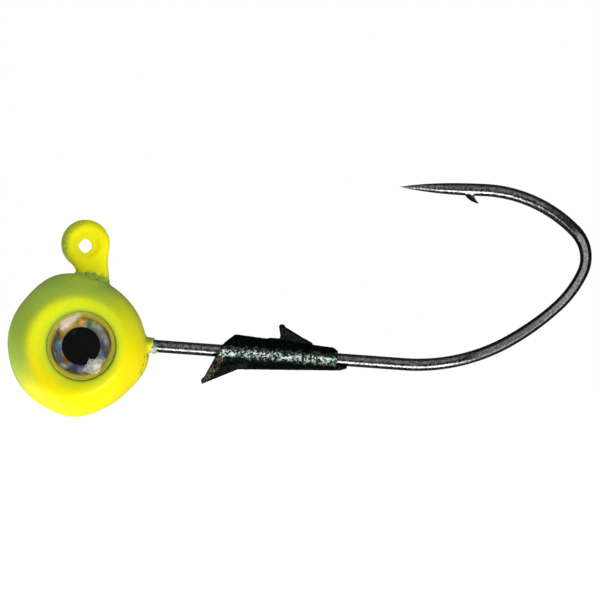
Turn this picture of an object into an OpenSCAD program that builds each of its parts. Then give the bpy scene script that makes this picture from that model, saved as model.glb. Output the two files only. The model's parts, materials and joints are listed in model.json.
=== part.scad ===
// Ball jig head: a hook cast into a painted lead ball, with raised eyes and a barbed bait keeper.
// Millimetres. The origin is the centre of the line-tie hole, +X runs along the shank towards
// the hook's bend, +Z points up the eye leg, and the part is symmetric about the XZ plane.

/* [Head] */
// Diameter of the painted ball
head_d = 13.9; // [11.5:0.1:17]
// How far the ball's centre sits ahead of the eye leg
head_ahead = 1.8; // [0.5:0.1:2.5]
// Height of the shank above the ball's centre
shank_rise = 0.52; // [0:0.02:1]
// Rounding between the side flats and the ball
flat_edge_r = 0.8; // [0.3:0.1:1.2]
// Width of the side flat where it is narrowest, behind the eye
flat_ring_w = 0.2; // [0.1:0.05:0.4]
// How far the flat dips towards the eye
flat_dish = 0.25; // [0:0.05:0.3]

/* [Coats] */
// Thickness of the white undercoat
base_t = 0.06; // [0.05:0.01:0.12]
// Thickness of the chartreuse paint over it
paint_t = 0.12; // [0.08:0.01:0.2]
// How far the undercoat runs along the shank from the ball
base_creep = 1.3; // [0.8:0.1:2]
// How far the paint runs along the shank from the ball
paint_creep = 0.75; // [0.3:0.05:1.2]

/* [Line tie] */
// Diameter of the hole through the painted loop
tie_hole_d = 1.2; // [0.8:0.1:1.6]
// Thickness of the paint web round the hole
tie_web_t = 0.9; // [0.6:0.1:1.1]
// Diameter of the wire loop at the wire's centre
loop_d = 3.28; // [3:0.02:4]
// Height of the loop's centre above the hole's centre
loop_rise = 0.2; // [0:0.05:0.3]
// Gap between the loop's closed end and the leg
loop_gap = 0.05; // [0.02:0.01:0.2]
// Height of the neck between the loop and the ball
neck_h = 0.78; // [0.3:0.02:2]
// Width of the cast neck ahead of the eye leg
neck_w = 2.1; // [1.4:0.1:2.6]
// Thickness of the cast neck
neck_t = 1.15; // [0.9:0.05:1.2]

/* [Hook] */
// Diameter of the wire
wire_d = 1.25; // [1:0.05:1.5]
// Radius of the bend between the eye leg and the shank
leg_bend_r = 2.5; // [1.5:0.1:3]
// Length of the straight shank, from the eye leg to the heel
shank_len = 31; // [26:0.5:40]
// Radius of the heel, where the shank starts to turn
heel_r = 18.6; // [15:0.1:23]
// Turn of the heel in degrees
heel_turn = 33.7; // [28:0.1:38]
// Radius of the back of the bend
back_r = 26; // [20:0.5:32]
// Turn of the back in degrees
back_turn = 13.4; // [10:0.1:16]
// Radius of the shoulder
shoulder_r = 10.8; // [9:0.1:14]
// Turn of the shoulder in degrees
shoulder_turn = 21.3; // [18:0.1:25]
// Radius of the crown, the tightest part of the bend
crown_r = 3.7; // [3:0.1:5]
// Turn of the crown in degrees
crown_turn = 70; // [60:0.5:80]
// Radius of the throat, where the wire comes back to the point
throat_r = 13.5; // [11:0.1:17]
// Turn of the throat in degrees
throat_turn = 43.6; // [38:0.1:48]
// Length of straight wire between the throat and the point's taper
point_run = 0.4; // [0.2:0.1:2]
// Length of the point's taper
point_len = 8; // [6:0.1:10]
// Radius of the very tip
tip_r = 0.03; // [0.02:0.01:0.1]
// Distance of the barb's root from the tip
barb_root = 6.7; // [5:0.1:7.5]
// Length of the barb's root along the wire
barb_root_len = 0.75; // [0.4:0.05:1]
// How far the barb's tip stands out from the wire's centre
barb_reach = 1.46; // [1:0.02:2]
// How far the barb's tip trails behind its root
barb_trail = 0.42; // [0.1:0.02:0.8]
// Thickness of the barb across the wire
barb_t = 0.6; // [0.3:0.05:0.9]

/* [Bait keeper] */
// Bare shank between the ball and the keeper's prong
bare_shank = 5.8; // [3:0.1:9]
// Length of the keeper
keeper_len = 14.5; // [12:0.1:18]
// Wall over the wire at the prong end
keeper_front_wall = 1.33; // [1.1:0.01:1.6]
// Wall over the wire at the rear end
keeper_rear_wall = 0.44; // [0.35:0.01:0.6]
// Distance of the mouth's top corner behind the prong's tip
mouth_len = 3.2; // [2.4:0.1:4]
// Distance of that corner behind the place where the mouth crosses the wire's top
mouth_slant = 1.33; // [0.6:0.01:1.6]
// Depth of the prong's tip under the shank's centre
prong_depth = 3.35; // [2.8:0.05:4]
// Where the prong leaves the belly, from its own tip
prong_len = 4.6; // [4:0.1:5.5]
// Width of the prong where it leaves the belly
prong_root_w = 2.6; // [1.8:0.1:3]
// Width of the prong's tip
prong_tip_w = 1; // [0.6:0.1:1.4]
// Place of the fin's tip along the keeper
fin_x = 7.4; // [6:0.1:9]
// Height of the fin's tip over the shank's centre
fin_h = 2.95; // [2.5:0.05:3.6]
// Length of the fin's ramp
fin_len = 3.4; // [2.6:0.1:4.4]
// Thickness of the fin
fin_t = 1; // [0.6:0.1:1.4]
// Length of the lip under the wire behind the rear end
lip_len = 1.1; // [0.6:0.05:1.4]
// Chamfer round the top of the rear end
rear_chamfer = 0.4; // [0.2:0.05:0.6]

/* [Eyes] */
// Diameter of each eye
eye_d = 6.8; // [5.5:0.1:7.5]
// How far each eye sits behind the ball's centre
eye_back = 0.6; // [0:0.05:0.8]
// Clearance between an eye and its socket
eye_gap = 0.08; // [0.03:0.01:0.15]
// Depth of the socket below the ring round it
socket_depth = 0.25; // [0.2:0.05:0.6]
// Thickness of the adhesive pad
adhesive_t = 0.15; // [0.1:0.01:0.25]
// Width by which the adhesive pad stops short of the eye's edge
adhesive_inset = 0.1; // [0:0.05:0.4]
// Thickness of the iris foil
foil_t = 0.08; // [0.05:0.01:0.12]
// Diameter of the pupil
pupil_d = 3.5; // [2.5:0.1:5]
// Thickness of the pupil
pupil_t = 0.06; // [0.05:0.01:0.1]
// Height of the lens's straight edge
lens_edge_t = 0.25; // [0.15:0.05:0.4]
// Height of the lens's dome over that edge
lens_dome_h = 1.35; // [0.8:0.05:1.8]

/* [Hidden] */
$fn = 96;
LEFT = -1;
RIGHT = 1;
eps = 0.01;                                          // overlap between shapes of one solid
arc_step = 4;                                        // degrees between an outline's points
bridge_t = 0.1;                                      // length of the discs that join the turns
bridge_proud = 0.01;                                 // how far those discs stand out of the wire
ogive_steps = 16;                                    // rings along the point's taper
ogive_power = 2.5;                                   // fullness of the point's taper
exit_lift = 10;                                      // see side_cut()

wire_r = wire_d / 2;
loop_r = loop_d / 2;
coat_t = base_t + paint_t;
painted_r = head_d / 2;
cast_r = painted_r - coat_t;

// The loop's outside, the neck and the ball stack downwards from the line tie.
loop_bottom = loop_rise - loop_r - wire_r - coat_t;
head_x = loop_r - head_ahead;
head_z = loop_bottom - neck_h - painted_r;
shank_z = head_z + shank_rise;
leg_len = loop_rise - shank_z - leg_bend_r;
shank_start = loop_r + leg_bend_r;                   // x where the straight shank begins
ball_back = head_x + sqrt(pow(painted_r, 2) - pow(shank_rise, 2));

// The loop stops where its outer corner would meet the leg.
loop_turn = 360 - acos((loop_r - wire_r - loop_gap) / (loop_r + wire_r));

// [radius, degrees] of each turn of the bend, from the shank to the point
BEND = [[heel_r, heel_turn], [back_r, back_turn], [shoulder_r, shoulder_turn],
        [crown_r, crown_turn], [throat_r, throat_turn]];

// Sides of the head: each flat is placed so that the eye and the ring behind it just fit.
eye_r = eye_d / 2;
eye_x = head_x + eye_back;
cast_socket_r = eye_r + eye_gap + coat_t;
flat_r = cast_socket_r + eye_back + flat_ring_w;
dish_r = cast_socket_r - eye_back;                   // where the flat's dip reaches its full depth
flat_centre_y = sqrt(pow(cast_r - flat_edge_r, 2) - pow(flat_r, 2));
exit_angle = atan2(flat_centre_y, flat_r) + exit_lift;
cast_flat_y = flat_centre_y + flat_edge_r;
cast_lip_y = cast_flat_y - flat_dish;
cast_floor_y = cast_lip_y - socket_depth;

// Layers of an eye, outwards from the painted socket floor
adhesive_y = cast_floor_y + coat_t;
foil_y = adhesive_y + adhesive_t;
lens_y = foil_y + foil_t;
lens_top_y = lens_y + lens_edge_t + lens_dome_h;
lens_sphere_r = (pow(eye_r, 2) + pow(lens_dome_h, 2)) / (2 * lens_dome_h);

keeper_x = ball_back + bare_shank;                   // x of the prong's tip
keeper_front_r = wire_r + keeper_front_wall;
keeper_rear_r = wire_r + keeper_rear_wall;
nose_x = mouth_len - mouth_slant;                    // where the mouth crosses the wire's top
prong_tip_t = 0.2;                                   // blunt end of the prong
fin_tip_h = 0.3;                                     // blunt end of the fin

function arc(c, r, from, to) =
    let (n = max(2, round(abs(to - from) / arc_step)))
    [for (i = [0 : n]) c + r * [cos(from + (to - from) * i / n), sin(from + (to - from) * i / n)]];

function mirrored(points) = [for (i = [len(points) - 1 : -1 : 0]) [points[i][0], -points[i][1]]];

// Half of the outline that cuts the ball's sides, from the middle of a flat outwards. Its rounding
// stops exit_lift degrees early, in a line that leaves the ball at about that shallow angle.
function side_cut(grow) = concat(
    [[0, cast_lip_y + grow], [dish_r, cast_lip_y + grow]],
    arc([flat_r, flat_centre_y], flat_edge_r + grow, 90, exit_angle),
    [[flat_r, flat_centre_y] + (flat_edge_r + grow) * [cos(exit_angle), sin(exit_angle)]
     + cast_r * [sin(exit_angle), -cos(exit_angle)]]);

// Radius of the keeper's sleeve at a distance x behind the prong's tip
function sleeve_r(x) = keeper_front_r + (keeper_rear_r - keeper_front_r) * x / keeper_len;

// Where the keeper's mouth lies at a height z over the shank's centre
function mouth_x(z) = nose_x * (z + prong_depth) / (wire_r + prong_depth);

// Radius of the point's ogive as a share of the wire's, at a share s of its length from the tip
function ogive(s) = 1 - pow(1 - s, ogive_power);

// --- Wire -------------------------------------------------------------------------------

module wire_run(length, grow = 0) {
    rotate([0, 90, 0]) cylinder(r = wire_r + grow, h = length);
}

module wire_turn(radius, turn, grow = 0) {
    translate([0, 0, radius]) rotate([90, 90, 0])
        rotate_extrude(angle = turn) translate([radius, 0]) circle(r = wire_r + grow);
}

// Follows the turns one after another, each starting where the last one ends, then the children.
// A thin disc bridges each joint, because two turns may meet a rounding error apart.
module wire_bend(turns, i = 0) {
    if (i < len(turns)) {
        radius = turns[i][0];
        turn = turns[i][1];
        wire_turn(radius, turn);
        translate([radius * sin(turn), 0, radius * (1 - cos(turn))]) rotate([0, -turn, 0]) {
            translate([-bridge_t / 2, 0, 0]) wire_run(bridge_t, bridge_proud);
            wire_bend(turns, i + 1) children();
        }
    } else {
        children();
    }
}

// The loop, the eye leg and the bend that turns the leg into the shank
module wire_front(grow = 0) {
    translate([loop_r, 0, loop_rise]) {
        rotate([0, -90, 0]) wire_turn(loop_r, loop_turn, grow);
        rotate([0, 90, 0]) {
            wire_run(leg_len, grow);
            translate([leg_len, 0, 0]) wire_turn(leg_bend_r, 90, grow);
        }
    }
}

// The point: straight wire, then an ogive along +X, with its barb on the +Z side
module point_and_barb() {
    wire_run(point_run + eps);
    translate([point_run, 0, 0]) point_taper();
}

module point_taper() {
    taper = [for (i = [0 : ogive_steps]) let (s = i / ogive_steps)
             [max(tip_r, wire_r * ogive(s)), point_len * (1 - s)]];
    rotate([0, 90, 0]) rotate_extrude()
        polygon(concat([[0, point_len]], taper, [[0, 0]]));
    root = point_len - barb_root;
    back = root - barb_root_len;
    foot = 0.9 * wire_r;                             // inside the wire's surface
    belly = 2 / 3 * barb_reach;                      // where the barb's front edge bows out
    translate([0, barb_t / 2, 0]) rotate([90, 0, 0]) linear_extrude(barb_t)
        polygon([[root, 0], [root, foot], [(root + back) / 2, belly],
                 [back - barb_trail, barb_reach], [back, foot], [back, 0]]);
}

module hook() {
    color([0.28, 0.28, 0.30]) {
        wire_front();
        translate([shank_start, 0, shank_z]) wire_run(shank_len - leg_bend_r);
        translate([loop_r + shank_len, 0, shank_z]) wire_bend(BEND) point_and_barb();
    }
}

// The stretch of wire that the head and its coats close round
module cast_in_wire() {
    wire_front();
    translate([shank_start, 0, shank_z]) wire_run(shank_len - leg_bend_r);
}

// --- Head -------------------------------------------------------------------------------

// Turns what is drawn along +Z to point out of one side of the head, on the eye's axis
module on_side(side) {
    translate([eye_x, 0, head_z]) rotate([-90 * side, 0, 0]) children();
}

module flatted_ball(grow) {
    rotate([90, 180, 0]) rotate_extrude() intersection() {
        circle(r = cast_r + grow);
        polygon(concat(side_cut(grow), mirrored(side_cut(grow))));
    }
}

module ball(grow) {
    difference() {
        translate([head_x, 0, head_z]) flatted_ball(grow);
        for (side = [LEFT, RIGHT])
            on_side(side) translate([0, 0, cast_floor_y + grow])
                cylinder(r = cast_socket_r - grow, h = cast_r);
    }
}

// The cast neck from the loop down into the ball, ahead of the eye leg
module neck(grow) {
    half = neck_t / 2 + grow;
    round_x = loop_r - neck_w + neck_t / 2;          // centre of the neck's round front
    translate([0, 0, head_z]) linear_extrude(loop_rise - loop_r - head_z) {
        translate([round_x, 0]) circle(r = half);
        translate([round_x, -half]) square([loop_r - round_x, 2 * half]);
    }
}

// The wire loop and the eye leg under a coat, whose end covers the wire's end
module coated_loop(grow) {
    translate([loop_r, 0, loop_rise]) {
        rotate([0, -90, 0]) wire_turn(loop_r, loop_turn + grow / loop_r * 180 / PI, grow);
        rotate([0, 90, 0]) wire_run(leg_len, grow);
    }
}

module coated_shank(grow, creep) {
    translate([shank_start, 0, shank_z]) wire_run(ball_back + creep - shank_start, grow);
}

module coated_head(grow, creep) {
    ball(grow);
    neck(grow);
    coated_loop(grow);
    coated_shank(grow, creep);
}

module lead_head() {
    color([0.55, 0.56, 0.58]) difference() {
        union() {
            ball(0);
            neck(0);
        }
        cast_in_wire();
    }
}

module base_coat() {
    color([0.93, 0.94, 0.90]) difference() {
        coated_head(base_t, base_creep);
        ball(0);
        neck(0);
        cast_in_wire();
    }
}

module paint_coat() {
    color([0.86, 0.90, 0.05]) difference() {
        union() {
            coated_head(coat_t, paint_creep);
            translate([0, tie_web_t / 2, loop_rise]) rotate([90, 0, 0])
                cylinder(r = loop_r, h = tie_web_t);
        }
        coated_head(base_t, base_creep);
        cast_in_wire();
        translate([0, wire_d, 0]) rotate([90, 0, 0]) cylinder(d = tie_hole_d, h = 2 * wire_d);
    }
}

// --- Bait keeper --------------------------------------------------------------------------

// An outline in the XZ plane made into a plate across the keeper
module keeper_plate(outline, thickness) {
    translate([0, thickness / 2, 0]) rotate([90, 0, 0]) linear_extrude(thickness) polygon(outline);
}

// The tapered sleeve, cut by the slanted mouth in front and stepped to a lip behind
module keeper_sleeve() {
    outside = 2 * keeper_front_r;
    end_x = keeper_len - lip_len;
    intersection() {
        rotate([0, 90, 0]) cylinder(r1 = keeper_front_r, r2 = keeper_rear_r, h = keeper_len);
        keeper_plate([[mouth_len, outside], [mouth_len, sleeve_r(mouth_len)], [nose_x, wire_r],
                      [mouth_x(-keeper_front_r), -keeper_front_r],
                      [mouth_x(-keeper_front_r), -outside], [end_x, -outside],
                      [end_x, -keeper_rear_r], [keeper_len, -wire_r], [end_x, -wire_r / 2],
                      [end_x, keeper_rear_r - rear_chamfer],
                      [end_x - rear_chamfer, keeper_rear_r],
                      [end_x - rear_chamfer, outside]], 2 * outside);
    }
}

// The broad prong that flares down and forwards from the belly
module keeper_prong() {
    intersection() {
        keeper_plate([[0, prong_tip_t - prong_depth], [2 * prong_tip_t, -prong_depth],
                      [prong_len, -sleeve_r(prong_len)], [prong_len, 0], [nose_x, wire_r]],
                     prong_root_w);
        translate([0, 0, -prong_depth]) linear_extrude(2 * prong_depth)
            polygon([[0, -prong_tip_w / 2], [prong_len, -prong_root_w / 2],
                     [prong_len, prong_root_w / 2], [0, prong_tip_w / 2]]);
    }
}

// The thin fin on top, steep in front and ramped behind
module keeper_fin() {
    keeper_plate([[fin_x, 0], [fin_x, fin_h - fin_tip_h], [fin_x + fin_tip_h, fin_h],
                  [fin_x + fin_len, sleeve_r(fin_x + fin_len)], [fin_x + fin_len, 0]], fin_t);
}

module bait_keeper() {
    color([0.03, 0.10, 0.07]) difference() {
        translate([keeper_x, 0, shank_z]) {
            keeper_sleeve();
            keeper_prong();
            keeper_fin();
        }
        translate([keeper_x - eps, 0, shank_z]) wire_run(keeper_len + 2 * eps);
    }
}

// --- Eyes -------------------------------------------------------------------------------

module eye_adhesive(side) {
    color([0.85, 0.85, 0.82]) on_side(side)
        translate([0, 0, adhesive_y]) cylinder(r = eye_r - adhesive_inset, h = adhesive_t);
}

module eye_foil(side) {
    color([0.85, 0.65, 0.55]) on_side(side)
        translate([0, 0, foil_y]) cylinder(r = eye_r, h = foil_t);
}

module eye_pupil(side) {
    color([0.02, 0.02, 0.02]) on_side(side)
        translate([0, 0, lens_y]) cylinder(d = pupil_d, h = pupil_t);
}

module eye_lens(side) {
    color([0.80, 0.85, 0.85, 0.5]) on_side(side) difference() {
        intersection() {
            translate([0, 0, lens_y]) cylinder(r = eye_r, h = lens_edge_t + lens_dome_h);
            translate([0, 0, lens_top_y - lens_sphere_r]) sphere(r = lens_sphere_r);
        }
        translate([0, 0, lens_y - eps]) cylinder(d = pupil_d, h = pupil_t + eps);
    }
}

hook();
lead_head();
base_coat();
paint_coat();
bait_keeper();
eye_adhesive(LEFT);  // left_eye_adhesive
eye_foil(LEFT);  // left_eye_foil
eye_pupil(LEFT);  // left_eye_pupil
eye_lens(LEFT);  // left_eye_lens
eye_adhesive(RIGHT);  // right_eye_adhesive
eye_foil(RIGHT);  // right_eye_foil
eye_pupil(RIGHT);  // right_eye_pupil
eye_lens(RIGHT);  // right_eye_lens
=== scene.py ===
import json
from math import asin, atan2, cos, degrees, pi, radians, sin

import bmesh
import bpy
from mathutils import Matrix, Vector


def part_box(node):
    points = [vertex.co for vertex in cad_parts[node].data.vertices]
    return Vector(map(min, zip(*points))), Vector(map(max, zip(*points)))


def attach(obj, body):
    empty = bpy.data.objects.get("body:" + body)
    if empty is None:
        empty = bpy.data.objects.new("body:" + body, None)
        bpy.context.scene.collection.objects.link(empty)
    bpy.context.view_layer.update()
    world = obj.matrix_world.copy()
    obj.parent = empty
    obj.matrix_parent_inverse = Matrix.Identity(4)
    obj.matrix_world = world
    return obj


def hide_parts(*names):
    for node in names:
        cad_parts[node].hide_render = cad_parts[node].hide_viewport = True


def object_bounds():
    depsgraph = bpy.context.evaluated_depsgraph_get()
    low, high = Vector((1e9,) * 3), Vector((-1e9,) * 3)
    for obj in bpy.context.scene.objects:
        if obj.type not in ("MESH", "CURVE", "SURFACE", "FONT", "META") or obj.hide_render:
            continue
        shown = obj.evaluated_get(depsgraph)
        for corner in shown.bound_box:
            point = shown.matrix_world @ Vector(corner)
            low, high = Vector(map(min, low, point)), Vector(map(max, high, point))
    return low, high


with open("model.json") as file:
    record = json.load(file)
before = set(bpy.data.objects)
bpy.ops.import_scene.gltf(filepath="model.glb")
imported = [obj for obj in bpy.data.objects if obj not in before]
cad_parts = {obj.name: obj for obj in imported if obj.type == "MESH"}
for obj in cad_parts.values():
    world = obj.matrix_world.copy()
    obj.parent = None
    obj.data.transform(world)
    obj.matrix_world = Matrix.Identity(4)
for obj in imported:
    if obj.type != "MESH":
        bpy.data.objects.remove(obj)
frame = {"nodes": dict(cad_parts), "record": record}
cadLow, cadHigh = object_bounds()
mm = 0.001
sides = {"left": -1, "right": 1}
print("frame loaded:", len(frame["nodes"]), "nodes")


def pickNone():
    if bpy.context.object and bpy.context.object.mode != "OBJECT":
        bpy.ops.object.mode_set(mode="OBJECT")
    bpy.ops.object.select_all(action="DESELECT")


def pick(*pieces):
    pickNone()
    for piece in pieces:
        piece.select_set(True)
    bpy.context.view_layer.objects.active = pieces[0]


def bake(piece):  # place, turn and scale go into the mesh
    pick(piece)
    bpy.ops.object.transform_apply(location=True, rotation=True, scale=True)
    return piece


def start(add, **settings):  # a primitive, on its own, with its place in its mesh
    pickNone()
    add(**settings)
    return bake(bpy.context.object)


def edit(piece, kind="VERT"):
    pick(piece)
    bpy.ops.object.mode_set(mode="EDIT")
    bpy.ops.mesh.select_mode(type=kind)
    bpy.ops.mesh.select_all(action="DESELECT")


def selectAll():
    bpy.ops.mesh.select_all(action="SELECT")


def leave():
    bpy.ops.object.mode_set(mode="OBJECT")


upright, crosswise, lengthwise = (0, 0, 0), (pi / 2, 0, 0), (0, pi / 2, 0)


def rod(corners, radius, depth, place, turn=upright):
    return start(bpy.ops.mesh.primitive_cylinder_add, vertices=corners, radius=radius,
                 depth=depth, location=place, rotation=turn)


def block(place, size, turn=upright):
    return start(bpy.ops.mesh.primitive_cube_add, size=1, location=place, scale=size,
                 rotation=turn)


def knob(rings, radius, place):
    return start(bpy.ops.mesh.primitive_uv_sphere_add, segments=2 * rings, ring_count=rings,
                 radius=radius, location=place)


def disc(corners, radius, place, turn):  # left in edit mode with its one face selected
    ring = start(bpy.ops.mesh.primitive_circle_add, vertices=corners, radius=radius,
                 location=place, rotation=turn)
    edit(ring)
    selectAll()
    bpy.ops.mesh.edge_face_add()
    bpy.ops.mesh.select_mode(type="FACE")
    return ring


def push(move):  # in edit mode: extrudes what is selected
    bpy.ops.mesh.extrude_region_move(TRANSFORM_OT_translate={"value": move})


def scaleAbout(place, value):
    bpy.ops.transform.resize(value=value, center_override=place)


def smoothShare(share):  # eases in and out between 0 and 1
    return share * share * (3 - 2 * share)


def choose(piece, wanted, kind="verts"):  # in edit mode: selects what the test says yes to
    mesh = bmesh.from_edit_mesh(piece.data)
    mesh.verts.index_update()
    for part in (mesh.verts, mesh.edges, mesh.faces):
        for item in part:
            item.select = False
    for item in getattr(mesh, kind):
        item.select_set(wanted(item))
    mesh.select_flush_mode()
    bmesh.update_edit_mesh(piece.data)


def drawOut(piece, facing, *steps):  # takes the end that faces one way to each place, resized
    edit(piece, "FACE")
    choose(piece, lambda face: face.normal.dot(Vector(facing)) > 0.9, "faces")
    for place, share in steps:
        faces = bmesh.from_edit_mesh(piece.data).faces
        push(place - next(face for face in faces if face.select).calc_center_median())
        scaleAbout(place, share)
    leave()


def modify(piece, kind, **settings):
    pick(piece)
    modifier = piece.modifiers.new(kind.lower(), kind)
    for name, value in settings.items():
        setattr(modifier, name, value)
    bpy.ops.object.modifier_apply(modifier=modifier.name)


def cut(piece, tool):
    modify(piece, "BOOLEAN", operation="DIFFERENCE", object=tool, solver="EXACT")
    bpy.data.objects.remove(tool)


def join(*pieces):
    pick(*pieces)
    bpy.ops.object.join()
    return bpy.context.object


def fuse(piece, voxel, rounds):  # one skin round shapes that overlap, then smoothed
    modify(piece, "REMESH", mode="VOXEL", voxel_size=voxel * mm, use_smooth_shade=True)
    modify(piece, "SMOOTH", factor=0.5, iterations=rounds)


def keepLargest(piece):  # drops slivers that a cut leaves behind
    edit(piece)
    bpy.ops.mesh.separate(type="LOOSE")
    leave()
    pieces = sorted(bpy.context.selected_objects, key=lambda item: len(item.data.polygons))
    for sliver in pieces[:-1]:
        bpy.data.objects.remove(sliver)
    return pieces[-1]


def tidy(piece):
    edit(piece)
    selectAll()
    bpy.ops.mesh.remove_doubles(threshold=0.0005 * mm)
    bpy.ops.mesh.normals_make_consistent(inside=False)
    leave()


def finishPiece(piece, name, material, slot, *nodes, angle=None):
    pick(piece)
    piece.name = piece.data.name = name
    piece.data.materials.clear()
    piece.data.materials.append(material)
    if angle:
        bpy.ops.object.shade_smooth_by_angle(angle=radians(angle))
    else:
        bpy.ops.object.shade_smooth()
    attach(piece, "root")
    if nodes:
        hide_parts(*nodes)
    print("made", name, "with", len(piece.data.polygons), "faces")


def lathe(points, around, segments):
    # a filled ring is pushed along Y and resized, from one (radius, y) to the next
    radius, depth = points[0]
    centre = Vector((around[0], 0, around[1]))
    ring = disc(segments, radius, centre + Vector((0, depth, 0)), crosswise)
    for newRadius, newDepth in points[1:]:
        push((0, newDepth - depth, 0))
        scaleAbout(centre + Vector((0, newDepth, 0)), (newRadius / radius,) * 3)
        radius, depth = newRadius, newDepth
    leave()
    tidy(ring)
    return ring


def middle(node):
    low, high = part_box(node)
    return (low + high) / 2


eyeCentre = middle("left_eye_foil")
ballCentre = Vector((middle("lead_head").x, 0, eyeCentre.z))
ballRadius = ballCentre.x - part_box("paint_coat")[0].x
mounts = {mount["name"]: Vector(mount["pos_m"]) for mount in frame["record"]["mounts"]}
shankZ = mounts["bait_seat"].z


def newMaterial(name):
    material = bpy.data.materials.new(name)
    material.use_nodes = True
    return material


def feed(node, inputs):
    for name, value in inputs.items():
        if isinstance(value, bpy.types.NodeSocket):
            node.id_data.links.new(value, node.inputs[name])
        else:
            node.inputs[name].default_value = value


def add(tree, kind, inputs=None, **settings):
    node = tree.nodes.new("ShaderNode" + kind)
    for name, value in settings.items():
        setattr(node, name, value)
    feed(node, inputs or {})
    return node


def after(socket, kind, inputs, **settings):  # a node in the tree that the socket is in
    return add(socket.id_data, kind, inputs, **settings)


def ramp(value, stops):
    node = after(value, "ValToRGB", {"Fac": value})
    elements = node.color_ramp.elements
    while len(elements) < len(stops):
        elements.new(1)
    for element, (place, colour) in zip(elements, stops):
        element.position = place
        element.color = (*colour, 1)
    return node.outputs["Color"]


def axis(vector, letter):
    return after(vector, "SeparateXYZ", {"Vector": vector}).outputs[letter]


def noise(vector, scale, detail=3, roughness=0.55):
    return after(vector, "TexNoise", {"Vector": vector, "Scale": scale, "Detail": detail,
                                      "Roughness": roughness}).outputs["Fac"]


def remap(value, fromLow, fromHigh, low=0.0, high=1.0, kind="LINEAR"):
    return after(value, "MapRange", {"Value": value, "From Min": fromLow, "From Max": fromHigh,
                                     "To Min": low, "To Max": high},
                 interpolation_type=kind).outputs["Result"]


def fade(value, fromLow, fromHigh, low=0.0, high=1.0):
    return remap(value, fromLow, fromHigh, low, high, "SMOOTHSTEP")


def vary(grain, low, high):  # noise mostly lies between 0.3 and 0.7
    return remap(grain, 0.3, 0.7, low, high)


def calc(operation, a, b=0.0):
    return after(a, "Math", {0: a, 1: b}, operation=operation).outputs[0]


def times(value, *others):
    for other in others:
        value = calc("MULTIPLY", value, other)
    return value


def most(value, *others):
    for other in others:
        value = calc("MAXIMUM", value, other)
    return value


def plus(a, b):
    return calc("ADD", a, b)


def unsigned(value):
    return calc("ABSOLUTE", value)


def vectorCalc(operation, vector, inputs=None):
    return after(vector, "VectorMath", {0: vector, **(inputs or {})}, operation=operation).outputs


def dot(vector, direction):
    return vectorCalc("DOT_PRODUCT", vector, {1: direction})["Value"]


def fromAxis(place):  # how far a place is from the axis along Y
    x, z = axis(place, "X"), axis(place, "Z")
    return calc("SQRT", plus(times(x, x), times(z, z)))


def mixColour(share, a, b):
    inputs = {6: a, 7: b}
    for place, value in inputs.items():
        if not isinstance(value, bpy.types.NodeSocket):
            inputs[place] = (*value, 1)
    return after(share, "Mix", {"Factor": share, **inputs}, data_type="RGBA").outputs[2]


def bump(height, strength, distance, normal=None):
    inputs = {"Height": height, "Strength": strength, "Distance": distance * mm}
    if normal is not None:
        inputs["Normal"] = normal
    return after(height, "Bump", inputs).outputs["Normal"]


def shader(material, inputs):
    principled = material.node_tree.nodes["Principled BSDF"]
    feed(principled, inputs)
    return principled


def inMm(material, centre=(0, 0, 0), turn=(0, 0, 0)):
    # object coordinates in millimetres from a centre, turned
    place = add(material.node_tree, "TexCoord").outputs["Object"]
    moved = vectorCalc("SUBTRACT", place, {1: Vector(centre)})[0]
    return after(moved, "Mapping", {"Vector": moved, "Rotation": turn,
                                    "Scale": Vector((1, 1, 1)) / mm}).outputs["Vector"]


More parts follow.
